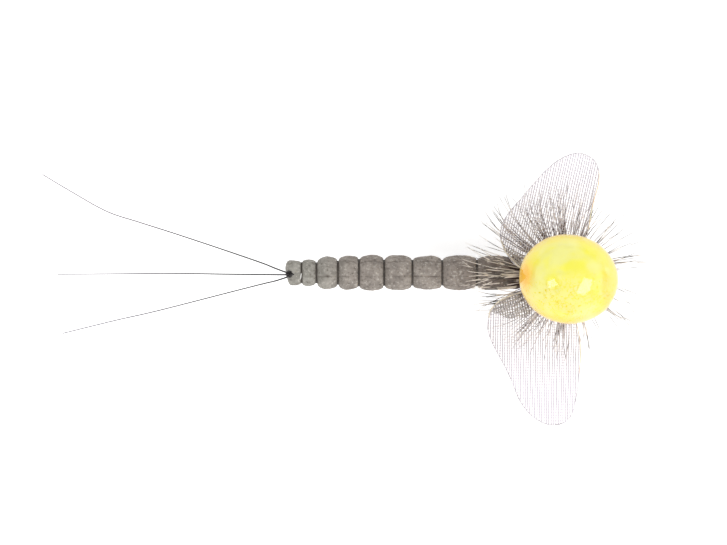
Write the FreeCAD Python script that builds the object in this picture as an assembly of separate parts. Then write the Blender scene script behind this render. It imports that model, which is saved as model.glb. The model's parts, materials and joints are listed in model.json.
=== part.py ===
import FreeCAD, Part
import math
import os
import random

# Extended-body mayfly dry fly, in millimetres.
# The origin is the centre of the hook's eye. +X points forwards, from the tails to the eye,
# +Y is the fly's left and +Z is up. The hook's straight shank lies along the X axis.

# Hook
wire_radius = 0.225
eye_ring_radius = 0.72
eye_wire_radius = 0.20
eye_bore_radius = 0.56
shank_front_x = -0.66
bend_x = -7.90
bend_radius = 2.60
spear_length = 2.00
point_length = 1.20
point_tip_radius = 0.03
barb_back = 0.30
barb_length = 0.42
barb_height = 0.14
barb_width = 0.16

# Foam abdomen: nine lobes, numbered from the tail, with a bound groove between neighbours
abdomen_z = 0.75
tail_end_x = -25.46
groove_x = [-24.21, -23.01, -21.30, -19.62, -17.60, -15.34, -12.95, -10.17]
groove_radius = [0.85, 0.84, 0.96, 1.10, 1.06, 1.03, 1.02, 1.05]
lobe_radius = [1.00, 1.06, 1.30, 1.35, 1.42, 1.415, 1.35, 1.40, 1.375]
abdomen_front_x = -7.10
abdomen_front_radius = 0.92
shoulder_share = 0.16
shoulder_fill = 0.72
groove_relief_angle = 7.0
groove_gap = 0.02
channel_clearance = 0.01

# Thread
thread_radius = 0.035
thread_base_radius = 0.275
neck_length = 4 * thread_radius
rib_turns = 2

# Tie-in wrap, thorax and head, all round the shank
tie_in_x = [-7.08, -6.72]
tie_in_radius = 0.72
thorax_x = [-6.70, -1.70]
thorax_z = 0.30
thorax_radius = 0.95
thorax_end_radius = 0.60
head_x = [-1.68, -1.12]
head_radius = [0.52, 0.34]
cement_front_x = -0.96
cement_feather = 0.03
thread_base_x = [-7.06, -1.10]

# Parachute post, its wrap, the wound hackle and the lashing that holds the wings
post_x = -2.90
post_radius = 0.55
post_bottom_z = 0.80
post_top_z = 5.00
post_wrap_radius = 0.62
post_wrap_z = [1.20, 2.74]
post_hole_height = 2.0
stem_radius = 0.10
coil_radius = 0.73
coil_pitch = 0.24
coil_turns = 4
coil_bottom_z = 1.72
lashing_outer_radius = 0.93
lashing_z = [2.76, 3.18]

# Hackle barbs: angles are measured from the tail direction, so 0 is straight back
barb_count = 105
barb_root_radius = 0.045
barb_tip_radius = 0.014
barb_root_reach = 0.84
barb_height_reach = 6.0
barb_height_stops = [
    (0, 2.85), (8, 2.75), (14, 2.40), (25, 2.20), (45, 1.35), (90, 1.05), (140, 1.20), (180, 2.30)]
barb_length_stops = [(0, 9.0), (40, 8.2), (90, 7.5), (140, 7.3), (180, 7.6)]
barb_length_spread = 0.07
barb_height_spread = 0.12
barb_seed = 7

# Wings: flat cut panels hinged beside the post
wing_z = 2.97
wing_thickness = 0.08
wing_root_y = 1.03
left_wing_points = [
    (-3.60, 1.03), (-5.30, 0.52), (-6.68, 0.45), (-7.82, 1.65), (-8.25, 2.95), (-7.95, 4.20), (-7.00, 5.46),
    (-5.17, 7.59), (-3.60, 9.00), (-1.80, 9.53), (-0.72, 8.95), (-0.37, 7.40), (-0.86, 5.50), (-1.24, 3.30),
    (-2.20, 1.03)]
right_wing_points = [
    (-3.60, -1.03), (-6.30, -1.42), (-8.40, -2.35), (-9.25, -4.00), (-8.60, -6.20), (-7.45, -8.40),
    (-6.65, -10.30), (-5.30, -11.75), (-4.10, -12.17), (-2.85, -11.75), (-2.25, -10.30), (-1.92, -7.80),
    (-1.90, -5.40), (-2.24, -3.60), (-2.20, -1.03)]

# Sight ball: a foam core inside a clear resin coat, threaded on the post
ball_center = (-2.83, -0.50, 6.60)
ball_semi_axes = (3.97, 3.57, 3.30)
ball_turn = -8.0
coat_thickness = 0.25

# Tails and the glued knot that holds them
knot_center = (-24.85, -0.12, 1.58)
knot_semi_axes = (0.55, 0.26, 0.20)
knot_pocket_clearance = 0.02
tail_root_radius = 0.065
tail_tip_radius = 0.030
tail_left_points = [
    (-25.44, 0.06, 1.66), (-26.30, 0.38, 1.71), (-27.30, 0.78, 1.76), (-30.08, 1.74, 1.86),
    (-34.16, 3.10, 2.02), (-37.14, 4.05, 2.12), (-39.73, 4.92, 2.22), (-42.70, 6.58, 2.32),
    (-44.84, 7.86, 2.40)]
tail_middle_points = [
    (-25.44, -0.16, 1.66), (-29.72, -0.12, 1.84), (-34.54, -0.05, 2.04), (-38.98, -0.09, 2.20),
    (-43.62, -0.12, 2.36)]
tail_right_points = [
    (-25.44, -0.40, 1.66), (-26.30, -0.67, 1.71), (-27.20, -0.88, 1.74), (-29.72, -1.52, 1.84),
    (-35.65, -3.04, 2.08), (-38.99, -3.80, 2.20), (-43.25, -4.85, 2.36)]


def point(x, y, z):
    return FreeCAD.Vector(x, y, z)


forward = point(1, 0, 0)
up = point(0, 0, 1)


def smooth_curve(points):
    curve = Part.BSplineCurve()
    curve.interpolate([point(*p) for p in points])
    return curve.toShape()


def straight_edges(points):
    ends = [point(*p) for p in points]
    return [Part.makeLine(a, b) for a, b in zip(ends, ends[1:])]


def revolve_about_x(edges, axis_z):
    outline = Part.Wire(Part.__sortEdges__(edges))
    return Part.Face(outline).revolve(point(0, 0, axis_z), forward, 360)


def tube_along_x(start_x, end_x, outer_radius, inner_radius):
    length = end_x - start_x
    outer = Part.makeCylinder(outer_radius, length, point(start_x, 0, 0), forward)
    inner = Part.makeCylinder(inner_radius, length, point(start_x, 0, 0), forward)
    return outer.cut(inner)


def tube_up(x, bottom_z, top_z, outer_radius, inner_radius):
    length = top_z - bottom_z
    outer = Part.makeCylinder(outer_radius, length, point(x, 0, bottom_z), up)
    inner = Part.makeCylinder(inner_radius, length, point(x, 0, bottom_z), up)
    return outer.cut(inner)


def ellipsoid(center, semi_axes, turn):
    stretch = FreeCAD.Matrix()
    stretch.scale(*semi_axes)
    shape = Part.makeSphere(1.0).transformGeometry(stretch)
    shape.rotate(point(0, 0, 0), up, turn)
    shape.translate(point(*center))
    return shape


def along_stops(stops, value):
    # straight-line reading between neighbouring (position, value) stops
    for (low, low_value), (high, high_value) in zip(stops, stops[1:]):
        if value <= high:
            share = (value - low) / (high - low)
            return low_value + share * (high_value - low_value)
    return stops[-1][1]


def wire_sweep(radius):
    # the shank, the round bend and the spear as one bent wire
    spear_end_x = bend_x + spear_length
    low_z = -2 * bend_radius
    shank = Part.makeLine(point(shank_front_x, 0, 0), point(bend_x, 0, 0))
    back = point(bend_x - bend_radius, 0, -bend_radius)
    bend = Part.Arc(point(bend_x, 0, 0), back, point(bend_x, 0, low_z)).toShape()
    spear = Part.makeLine(point(bend_x, 0, low_z), point(spear_end_x, 0, low_z))
    path = Part.Wire([shank, bend, spear])
    section = Part.Wire([Part.makeCircle(radius, point(shank_front_x, 0, 0), forward)])
    return path.makePipeShell([section], True, True)


def make_hook():
    ring = Part.makeTorus(eye_ring_radius, eye_wire_radius)
    ring_height = 4 * eye_wire_radius
    bore = Part.makeCylinder(eye_bore_radius, ring_height, point(0, 0, -ring_height / 2), up)
    eye = ring.cut(bore)
    low_z = -2 * bend_radius
    point_start_x = bend_x + spear_length
    point_start = point(point_start_x, 0, low_z)
    hook_point = Part.makeCone(wire_radius, point_tip_radius, point_length, point_start, forward)
    barb_x = point_start_x - barb_back
    wire_top_z = low_z + wire_radius / 2
    corners = [
        point(barb_x + barb_length, -barb_width / 2, wire_top_z),
        point(barb_x, -barb_width / 2, wire_top_z),
        point(barb_x - barb_height, -barb_width / 2, low_z + wire_radius + barb_height),
        point(barb_x + barb_length, -barb_width / 2, wire_top_z)]
    barb = Part.Face(Part.makePolygon(corners)).extrude(point(0, barb_width, 0))
    return wire_sweep(wire_radius).fuse([eye, hook_point, barb]).removeSplitter()


def lobe_outline(rear_x, rear_radius, front_x, front_radius, full_radius):
    span = front_x - rear_x
    stations = [
        (rear_x, rear_radius),
        (rear_x + shoulder_share * span, rear_radius + shoulder_fill * (full_radius - rear_radius)),
        (rear_x + span / 2, full_radius),
        (front_x - shoulder_share * span, front_radius + shoulder_fill * (full_radius - front_radius)),
        (front_x, front_radius)]
    return [(x, 0, abdomen_z + radius) for x, radius in stations]


def front_profile(front_x, front_radius):
    # the front face leans back from the hinge line, which leaves room for the lobe to tilt
    relief = front_radius * math.tan(math.radians(groove_relief_angle))
    rim_x = front_x - groove_gap - relief
    return rim_x, (front_x - groove_gap, 0, abdomen_z)


def rear_neck(groove):
    # the neck that carries the rib thread, from the lobe's rear rim down to the axis
    rear_x = groove_x[groove]
    neck_radius = groove_radius[groove] - 2 * thread_radius
    return [
        (rear_x + neck_length, 0, abdomen_z + groove_radius[groove]),
        (rear_x + neck_length, 0, abdomen_z + neck_radius),
        (rear_x, 0, abdomen_z + neck_radius),
        (rear_x, 0, abdomen_z)]


def make_tail_lobe():
    rim_x, apex = front_profile(groove_x[0], groove_radius[0])
    full = lobe_radius[0]
    length = rim_x - tail_end_x
    rim_share = groove_radius[0] / full
    stations = [(0, 0), (0.06, 0.50), (0.22, 0.82), (0.60, 1.0), (0.86, 0.955), (1.0, rim_share)]
    outline = [(tail_end_x + share * length, 0, abdomen_z + full * height) for share, height in stations]
    edges = [smooth_curve(outline)] + straight_edges([outline[-1], apex, outline[0]])
    lobe = revolve_about_x(edges, abdomen_z)
    pocket_axes = [axis + knot_pocket_clearance for axis in knot_semi_axes]
    return lobe.cut(ellipsoid(knot_center, pocket_axes, 0))


def make_middle_lobe(number):
    rear = number - 2
    rim_x, apex = front_profile(groove_x[rear + 1], groove_radius[rear + 1])
    body_x = groove_x[rear] + neck_length
    outline = lobe_outline(
        body_x, groove_radius[rear], rim_x, groove_radius[rear + 1], lobe_radius[number - 1])
    neck = rear_neck(rear)
    edges = [smooth_curve(outline)] + straight_edges([outline[-1], apex, neck[-1]])
    edges += straight_edges(neck)
    return revolve_about_x(edges, abdomen_z)


def make_front_lobe():
    rear = len(groove_x) - 1
    body_x = groove_x[rear] + neck_length
    outline = lobe_outline(
        body_x, groove_radius[rear], abdomen_front_x, abdomen_front_radius, lobe_radius[-1])
    neck = rear_neck(rear)
    front_center = (abdomen_front_x, 0, abdomen_z)
    edges = [smooth_curve(outline)] + straight_edges([outline[-1], front_center, neck[-1]])
    edges += straight_edges(neck)
    return revolve_about_x(edges, abdomen_z).cut(wire_sweep(wire_radius + channel_clearance))


def make_rib_wrap(groove):
    # turns of thread laid side by side round the neck
    turn_radius = groove_radius[groove] - thread_radius
    rings = []
    for turn in range(rib_turns):
        x = groove_x[groove] + (2 * turn + 1) * thread_radius
        rings.append(Part.makeTorus(turn_radius, thread_radius, point(x, 0, abdomen_z), forward))
    return Part.makeCompound(rings)


def make_thorax():
    start_x, end_x = thorax_x
    middle_x = (start_x + end_x) / 2
    outline = [
        (start_x, 0, thorax_z + thorax_end_radius),
        (start_x + 1.0, 0, thorax_z + 0.93 * thorax_radius),
        (middle_x, 0, thorax_z + thorax_radius),
        (end_x - 1.2, 0, thorax_z + 0.90 * thorax_radius),
        (end_x, 0, thorax_z + thorax_end_radius)]
    edges = [smooth_curve(outline)]
    edges += straight_edges([outline[-1], (end_x, 0, thorax_z), (start_x, 0, thorax_z), outline[0]])
    body = revolve_about_x(edges, thorax_z)
    shank_hole = Part.makeCylinder(thread_base_radius, end_x - start_x, point(start_x, 0, 0), forward)
    post_hole = Part.makeCylinder(post_radius, post_hole_height, point(post_x, 0, post_bottom_z), up)
    wrap_hole = Part.makeCylinder(post_wrap_radius, post_hole_height, point(post_x, 0, post_wrap_z[0]), up)
    return body.cut([shank_hole, post_hole, wrap_hole])


def make_head_wrap():
    length = head_x[1] - head_x[0]
    cone = Part.makeCone(head_radius[0], head_radius[1], length, point(head_x[0], 0, 0), forward)
    return cone.cut(Part.makeCylinder(thread_base_radius, length, point(head_x[0], 0, 0), forward))


def make_head_cement():
    length = cement_front_x - head_x[1]
    rear = point(head_x[1], 0, 0)
    drop = Part.makeCone(head_radius[1], wire_radius + cement_feather, length, rear, forward)
    bore = Part.makeCylinder(thread_base_radius, thread_base_x[1] - head_x[1], rear, forward)
    wire = Part.makeCylinder(wire_radius, length, rear, forward)
    return drop.cut([bore, wire])


def make_hackle_stem():
    coil = Part.makeHelix(coil_pitch, coil_pitch * coil_turns, coil_radius)
    section = Part.Wire([Part.makeCircle(stem_radius, point(coil_radius, 0, 0), point(0, 1, 0))])
    stem = Part.Wire(coil).makePipeShell([section], True, True)
    stem.translate(point(post_x, 0, coil_bottom_z))
    return stem


def make_hackle_barbs():
    # each barb leaves the wound stem and runs straight out, at the height its direction needs
    draw = random.Random(barb_seed)
    barbs = []
    for index in range(barb_count):
        turn = coil_turns * (index + 0.5) / barb_count
        azimuth = 360.0 * (turn % 1.0)
        from_tail = abs(180.0 - azimuth)
        root_z = coil_bottom_z + coil_pitch * turn
        far_z = along_stops(barb_height_stops, from_tail) + draw.uniform(-1, 1) * barb_height_spread
        reach = along_stops(barb_length_stops, from_tail) * (1 + draw.uniform(-1, 1) * barb_length_spread)
        slope = (far_z - root_z) / (barb_height_reach - barb_root_reach)
        angle = math.radians(azimuth)
        root = point(post_x + barb_root_reach * math.cos(angle), barb_root_reach * math.sin(angle), root_z)
        direction = point(math.cos(angle), math.sin(angle), slope)
        length = (reach - barb_root_reach) * math.hypot(1, slope)
        barbs.append(Part.makeCone(barb_root_radius, barb_tip_radius, length, root, direction))
    return Part.makeCompound(barbs)


def make_wing(points):
    low_z = wing_z - wing_thickness / 2
    outline = [(x, y, low_z) for x, y in points]
    edges = [smooth_curve(outline)] + straight_edges([outline[-1], outline[0]])
    return Part.Face(Part.Wire(edges)).extrude(point(0, 0, wing_thickness))


def make_tail(points):
    # a tapered hair: round sections turned to follow the hair, with straight sides between them
    places = [point(*p) for p in points]
    sections = []
    last = len(places) - 1
    for index, place in enumerate(places):
        heading = places[min(index + 1, last)] - places[max(index - 1, 0)]
        radius = tail_root_radius + (tail_tip_radius - tail_root_radius) * index / last
        sections.append(Part.Wire([Part.makeCircle(radius, place, heading)]))
    return Part.makeLoft(sections, True, True)


def make_ball():
    core_axes = [axis - coat_thickness for axis in ball_semi_axes]
    post_bottom = point(post_x, 0, post_bottom_z)
    post_hole = Part.makeCylinder(post_radius, post_top_z - post_bottom_z, post_bottom, up)
    core = ellipsoid(ball_center, core_axes, ball_turn)
    coat = ellipsoid(ball_center, ball_semi_axes, ball_turn).cut(core)
    return core.cut(post_hole), coat.cut(post_hole)


def make_all():
    shapes = {"hook": make_hook(), "foam_segment_1": make_tail_lobe()}
    for number in range(2, len(lobe_radius)):
        shapes["foam_segment_%d" % number] = make_middle_lobe(number)
    shapes["foam_segment_%d" % len(lobe_radius)] = make_front_lobe()
    for groove in range(len(groove_x)):
        shapes["rib_wrap_%d" % (groove + 1)] = make_rib_wrap(groove)
    rear, front = thread_base_x
    shapes["shank_thread"] = tube_along_x(rear, front, thread_base_radius, wire_radius)
    shapes["tie_in_wrap"] = tube_along_x(tie_in_x[0], tie_in_x[1], tie_in_radius, thread_base_radius)
    shapes["thorax_dubbing"] = make_thorax()
    shapes["head_wrap"] = make_head_wrap()
    shapes["head_cement"] = make_head_cement()
    post_length = post_top_z - post_bottom_z
    shapes["wing_post"] = Part.makeCylinder(post_radius, post_length, point(post_x, 0, post_bottom_z), up)
    shapes["post_wrap"] = tube_up(post_x, post_wrap_z[0], post_wrap_z[1], post_wrap_radius, post_radius)
    shapes["hackle_stem"] = make_hackle_stem()
    shapes["hackle_barbs"] = make_hackle_barbs()
    shapes["wing_lashing"] = tube_up(post_x, lashing_z[0], lashing_z[1], lashing_outer_radius, post_radius)
    shapes["left_wing"] = make_wing(left_wing_points)
    shapes["right_wing"] = make_wing(right_wing_points)
    shapes["sight_ball_core"], shapes["sight_ball_coat"] = make_ball()
    shapes["tail_knot"] = ellipsoid(knot_center, knot_semi_axes, 0)
    shapes["tail_left"] = make_tail(tail_left_points)
    shapes["tail_middle"] = make_tail(tail_middle_points)
    shapes["tail_right"] = make_tail(tail_right_points)
    return shapes


os.makedirs("parts", exist_ok=True)
for name, shape in make_all().items():
    shape.exportStep("parts/%s.step" % name)
    box = shape.BoundBox
    print(name, "valid" if shape.isValid() else "INVALID", "solids", len(shape.Solids))
    print("  volume %.4f" % shape.Volume, "x %.2f..%.2f" % (box.XMin, box.XMax))
    print("  y %.2f..%.2f" % (box.YMin, box.YMax), "z %.2f..%.2f" % (box.ZMin, box.ZMax))
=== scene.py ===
import json
import math
import random

import bpy
from mathutils import Matrix, Vector, noise


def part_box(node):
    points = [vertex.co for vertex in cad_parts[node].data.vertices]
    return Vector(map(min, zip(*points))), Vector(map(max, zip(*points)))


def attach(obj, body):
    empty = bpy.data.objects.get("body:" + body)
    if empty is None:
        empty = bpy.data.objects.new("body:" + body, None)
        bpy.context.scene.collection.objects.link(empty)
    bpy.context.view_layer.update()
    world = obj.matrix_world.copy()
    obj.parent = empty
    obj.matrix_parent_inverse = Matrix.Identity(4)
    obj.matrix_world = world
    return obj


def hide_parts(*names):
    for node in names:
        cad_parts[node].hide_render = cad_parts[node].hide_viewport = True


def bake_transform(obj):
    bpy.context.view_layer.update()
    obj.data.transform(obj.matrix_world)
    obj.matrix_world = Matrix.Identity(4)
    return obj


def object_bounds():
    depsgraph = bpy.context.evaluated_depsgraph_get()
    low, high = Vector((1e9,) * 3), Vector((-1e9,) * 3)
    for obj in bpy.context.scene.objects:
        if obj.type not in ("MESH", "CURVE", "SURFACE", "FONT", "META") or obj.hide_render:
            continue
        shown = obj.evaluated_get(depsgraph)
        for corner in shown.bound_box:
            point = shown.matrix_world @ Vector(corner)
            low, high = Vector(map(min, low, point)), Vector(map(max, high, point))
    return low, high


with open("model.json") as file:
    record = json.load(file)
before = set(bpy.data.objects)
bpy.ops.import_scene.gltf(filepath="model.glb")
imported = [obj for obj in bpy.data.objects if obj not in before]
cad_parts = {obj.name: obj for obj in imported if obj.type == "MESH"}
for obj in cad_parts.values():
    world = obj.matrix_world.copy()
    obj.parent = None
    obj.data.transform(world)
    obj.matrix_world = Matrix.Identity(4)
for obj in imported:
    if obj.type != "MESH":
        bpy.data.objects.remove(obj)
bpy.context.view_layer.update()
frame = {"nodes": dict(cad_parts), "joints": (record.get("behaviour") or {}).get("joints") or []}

mm = 0.001
forward = Vector((1, 0, 0))
upward = Vector((0, 0, 1))
print("frame loaded")


# places read from the frame, in millimetres

knownBoxes = {}


def boxOf(node):
    if node not in knownBoxes:
        low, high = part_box(node)
        knownBoxes[node] = (low / mm, high / mm)
    return knownBoxes[node]


def middleOf(node):
    low, high = boxOf(node)
    return (low + high) / 2


jointPlaces = {joint["name"]: Vector(joint["pos_m"]) / mm for joint in frame["joints"]}
lobeCount = sum(1 for node in frame["nodes"] if node.startswith("foam_segment_"))
abdomenZ = jointPlaces["abdomen_curl"].z
post = middleOf("wing_post")
stemLow, stemHigh = boxOf("hackle_stem")


# mesh helpers: everything is built in millimetres and stored in metres

def newStore():
    return {"verts": [], "faces": [], "along": [], "tone": []}


def addRings(store, rings, along=None, tones=0.0):
    # rings are equal lists of points, joined one to the next and closed at both ends
    start = len(store["verts"])
    sides = len(rings[0])
    for index, ring in enumerate(rings):
        store["verts"].extend([p * mm for p in ring])
        store["along"].extend([along[index] if along else index / (len(rings) - 1)] * sides)
        store["tone"].extend(tones[index] if isinstance(tones, list) else [tones] * sides)
    for index in range(len(rings) - 1):
        low = start + index * sides
        for side in range(sides):
            after = (side + 1) % sides
            store["faces"].append((low + side, low + after, low + sides + after, low + sides + side))
    last = start + (len(rings) - 1) * sides
    store["faces"].append(tuple(start + side for side in reversed(range(sides))))
    store["faces"].append(tuple(last + side for side in range(sides)))


def addTube(store, path, radii, sides=8, tone=0.0, flat=1.0, lie=None):
    # a closed tube along path; lie is the direction that a flattened strand lies against
    rings, along, travelled = [], [], 0.0
    normal = None
    last = len(path) - 1
    for index, place in enumerate(path):
        heading = (path[min(index + 1, last)] - path[max(index - 1, 0)]).normalized()
        if lie is not None:
            side = heading.cross(lie).normalized()
            normal = side.cross(heading)
        else:
            guide = normal or (upward if abs(heading.z) < 0.9 else forward)
            normal = (guide - heading * guide.dot(heading)).normalized()
            side = heading.cross(normal)
        radius = radii[index] if hasattr(radii, "__len__") else radii
        ring = []
        for step in range(sides):
            angle = math.tau * step / sides
            spoke = side * (radius * math.cos(angle))
            ring.append(place + spoke + normal * (radius * flat * math.sin(angle)))
        rings.append(ring)
        along.append(travelled)
        if index < last:
            travelled += (path[index + 1] - place).length
    addRings(store, rings, along, tone)


def addTurned(store, centre, axis, stations, sides=48, shape=None, tone=0.0):
    # a turned form: stations are (distance along axis, radius); shape changes a radius by angle and place
    across = (upward - axis * axis.z).normalized() if abs(axis.z) < 0.5 else forward
    beside = axis.cross(across)
    rings = []
    for distance, radius in stations:
        ring = []
        for step in range(sides):
            angle = math.tau * step / sides
            reach = shape(radius, angle, distance) if shape else radius
            spoke = across * math.cos(angle) + beside * math.sin(angle)
            ring.append(centre + axis * distance + spoke * reach)
        rings.append(ring)
    addRings(store, rings, [distance for distance, radius in stations], tone)


def addCoil(store, centre, axis, start, end, turns, reachAt, wire, tone=0.0, startAngle=0.0):
    # thread wound round axis from start to end
    across = axis.orthogonal().normalized()
    beside = axis.cross(across)
    steps = int(abs(turns) * 28)
    path = []
    for step in range(steps + 1):
        share = step / steps
        angle = startAngle + math.tau * turns * share
        place = start + (end - start) * share
        spoke = across * math.cos(angle) + beside * math.sin(angle)
        path.append(centre + axis * place + spoke * reachAt(place, angle))
    addTube(store, path, wire, 7, tone)


def addWrap(store, centre, axis, start, end, radiusAt, wire, draw, slack=0.15, tone=0.0, openTurns=0):
    # touching turns with a little slack, then openTurns spaced turns back over them
    def closeReach(place, angle):
        return radiusAt(place) + wire * (0.5 + slack * noise.noise(Vector((angle * 0.9, start, 3.1))))

    def openReach(place, angle):
        return radiusAt(place) + wire * 1.9

    turns = max(1, round(abs(end - start) / (2 * wire)))
    addCoil(store, centre, axis, start, end, turns, closeReach, wire, tone)
    if openTurns:
        addCoil(store, centre, axis, end, start, -openTurns, openReach, wire, draw.random(), 1.0)


def lumpyShape(amount, fineness, fineAlong):
    # a shape for addTurned that swells and dips by a share of the radius
    def lumpy(radius, angle, distance):
        around = Vector((math.cos(angle) * fineness, math.sin(angle) * fineness, distance * fineAlong))
        return radius * (1 + amount * noise.noise(around))
    return lumpy


def smoothPath(points, perSpan=8):
    # a curve through the points, with even tangents
    places = [Vector(p) for p in points]
    ends = [places[0] * 2 - places[1]] + places + [places[-1] * 2 - places[-2]]
    path = []
    for index in range(len(places) - 1):
        a, b, c, d = ends[index:index + 4]
        for step in range(perSpan):
            t = step / perSpan
            curve = (2 * a - 5 * b + 4 * c - d) * t * t + (3 * b - a - 3 * c + d) * t ** 3
            path.append(0.5 * (2 * b + (c - a) * t + curve))
    path.append(places[-1])
    return path


def readStops(stops, value):
    for (low, lowValue), (high, highValue) in zip(stops, stops[1:]):
        if value <= high:
            share = (value - low) / (high - low)
            return lowValue + share * (highValue - lowValue)
    return stops[-1][1]


def easeStep(low, high, value):
    share = min(1.0, max(0.0, (value - low) / (high - low)))
    return share * share * (3 - 2 * share)


def makePiece(name, store, material, body, slotName, *stoodFor):
    mesh = bpy.data.meshes.new(name)
    mesh.from_pydata(store["verts"], [], store["faces"])
    for mark in ("along", "tone"):
        mesh.attributes.new(mark, "FLOAT", "POINT").data.foreach_set("value", store[mark])
    mesh.polygons.foreach_set("use_smooth", [True] * len(mesh.polygons))
    mesh.materials.append(material)
    piece = bpy.data.objects.new(name, mesh)
    bpy.context.scene.collection.objects.link(piece)
    if body:
        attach(piece, body)
    if stoodFor:
        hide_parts(*stoodFor)
    return piece


# shader helpers

def addNode(tree, kind, **values):
    node = tree.nodes.new(kind)
    for name, value in values.items():
        setattr(node, name, value)
    return node


def link(tree, source, target):
    tree.links.new(source, target)


def feed(tree, value, socket):
    # a socket takes either a link or a fixed value
    if isinstance(value, bpy.types.NodeSocket):
        link(tree, value, socket)
    else:
        socket.default_value = value


def newGroup(name, inputs, outputs):
    group = bpy.data.node_groups.new(name, "ShaderNodeTree")
    for label, kind, value in inputs:
        socket = group.interface.new_socket(label, in_out="INPUT", socket_type=kind)
        socket.default_value = value
    for label, kind in outputs:
        group.interface.new_socket(label, in_out="OUTPUT", socket_type=kind)
    entry = addNode(group, "NodeGroupInput")
    leave = addNode(group, "NodeGroupOutput")
    return group, entry, leave


def mixColors(tree, factor, first, second):
    node = addNode(tree, "ShaderNodeMix", data_type="RGBA")
    feed(tree, factor, node.inputs[0])
    feed(tree, first, node.inputs[6])
    feed(tree, second, node.inputs[7])
    return node.outputs[2]


def mixFloats(tree, factor, first, second):
    node = addNode(tree, "ShaderNodeMix", data_type="FLOAT")
    link(tree, factor, node.inputs[0])
    link(tree, first, node.inputs[2])
    link(tree, second, node.inputs[3])
    return node.outputs[0]


def doMath(tree, operation, *values):
    node = addNode(tree, "ShaderNodeMath", operation=operation)
    for socket, value in zip(node.inputs, values):
        feed(tree, value, socket)
    return node.outputs[0]


def spread(tree, value, low, high, outLow=0.0, outHigh=1.0):
    node = addNode(tree, "ShaderNodeMapRange", interpolation_type="SMOOTHSTEP")
    link(tree, value, node.inputs["Value"])
    node.inputs["From Min"].default_value = low
    node.inputs["From Max"].default_value = high
    node.inputs["To Min"].default_value = outLow
    node.inputs["To Max"].default_value = outHigh
    return node.outputs["Result"]


def srgb(red, green, blue):
    # a colour named by its 0-255 values, as linear light
    def linear(value):
        value /= 255
        return value / 12.92 if value <= 0.04045 else ((value + 0.055) / 1.055) ** 2.4
    return (linear(red), linear(green), linear(blue), 1.0)


def addNoise(tree, place, scale, detail=2.0):
    node = addNode(tree, "ShaderNodeTexNoise")
    node.inputs["Detail"].default_value = detail
    link(tree, place, node.inputs["Vector"])
    feed(tree, scale, node.inputs["Scale"])
    return node.outputs["Fac"]


def attribute(tree, name):
    # a value stored on the mesh's points
    return addNode(tree, "ShaderNodeAttribute", attribute_name=name).outputs["Fac"]


def makeGrainGroup():
    # grain of two sizes, as a height and as a mask of its high spots
    group, entry, leave = newGroup(
        "fineGrain",
        [("Scale", "NodeSocketFloat", 8000.0), ("Coarse Share", "NodeSocketFloat", 0.4)],
        [("Height", "NodeSocketFloat"), ("Mask", "NodeSocketFloat")])
    place = addNode(group, "ShaderNodeTexCoord").outputs["Object"]
    fine = addNoise(group, place, entry.outputs["Scale"], 3.0)
    coarse = addNoise(group, place, doMath(group, "MULTIPLY", entry.outputs["Scale"], 0.22))
    height = mixFloats(group, entry.outputs["Coarse Share"], fine, coarse)
    link(group, height, leave.inputs["Height"])
    link(group, spread(group, fine, 0.54, 0.70), leave.inputs["Mask"])
    return group


def makeToneGroup():
    # slow drift between two colours over the surface, with each strand's own tone added
    group, entry, leave = newGroup(
        "toneDrift",
        [("Color A", "NodeSocketColor", (1, 1, 1, 1)), ("Color B", "NodeSocketColor", (0, 0, 0, 1)),
         ("Scale", "NodeSocketFloat", 500.0), ("Strand Share", "NodeSocketFloat", 0.0)],
        [("Color", "NodeSocketColor")])
    place = addNode(group, "ShaderNodeTexCoord").outputs["Object"]
    patches = addNoise(group, place, entry.outputs["Scale"], 2.5)
    patchy = spread(group, patches, 0.35, 0.65)
    mask = mixFloats(group, entry.outputs["Strand Share"], patchy, attribute(group, "tone"))
    mixed = mixColors(group, mask, entry.outputs["Color A"], entry.outputs["Color B"])
    link(group, mixed, leave.inputs["Color"])
    return group


def makeLayGroup():
    # the lay of a twisted or fibrous strand, read along its length
    group, entry, leave = newGroup(
        "strandLay",
        [("Pitch", "NodeSocketFloat", 0.2), ("Scale", "NodeSocketFloat", 9000.0)],
        [("Height", "NodeSocketFloat")])
    place = addNode(group, "ShaderNodeTexCoord").outputs["Object"]
    fibre = addNoise(group, place, entry.outputs["Scale"])
    turns = doMath(group, "DIVIDE", attribute(group, "along"), entry.outputs["Pitch"])
    wobble = doMath(group, "ADD", turns, fibre)
    wave = doMath(group, "SINE", doMath(group, "MULTIPLY", wobble, math.tau))
    link(group, doMath(group, "MULTIPLY_ADD", wave, 0.3, 0.5), leave.inputs["Height"])
    return group


grainGroup = makeGrainGroup()
toneGroup = makeToneGroup()
layGroup = makeLayGroup()


def newMaterial(name, roughness, metallic=0.0):
    material = bpy.data.materials.new(name)
    material.use_nodes = True
    tree = material.node_tree
    shader = tree.nodes["Principled BSDF"]
    shader.inputs["Roughness"].default_value = roughness
    shader.inputs["Metallic"].default_value = metallic
    return material, tree, shader


def placeGroup(tree, group, **values):
    node = addNode(tree, "ShaderNodeGroup", node_tree=group)
    for name, value in values.items():
        node.inputs[name.replace("_", " ")].default_value = value
    return node


def drift(tree, colorA, colorB, scale, strandShare=0.0):
    node = placeGroup(tree, toneGroup, Color_A=colorA, Color_B=colorB, Scale=scale, Strand_Share=strandShare)
    return node.outputs["Color"]


def addBump(tree, shader, height, distance, strength=0.5):
    bump = addNode(tree, "ShaderNodeBump")
    bump.inputs["Strength"].default_value = strength
    bump.inputs["Distance"].default_value = distance * mm
    link(tree, height, bump.inputs["Height"])
    link(tree, bump.outputs["Normal"], shader.inputs["Normal"])


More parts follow.
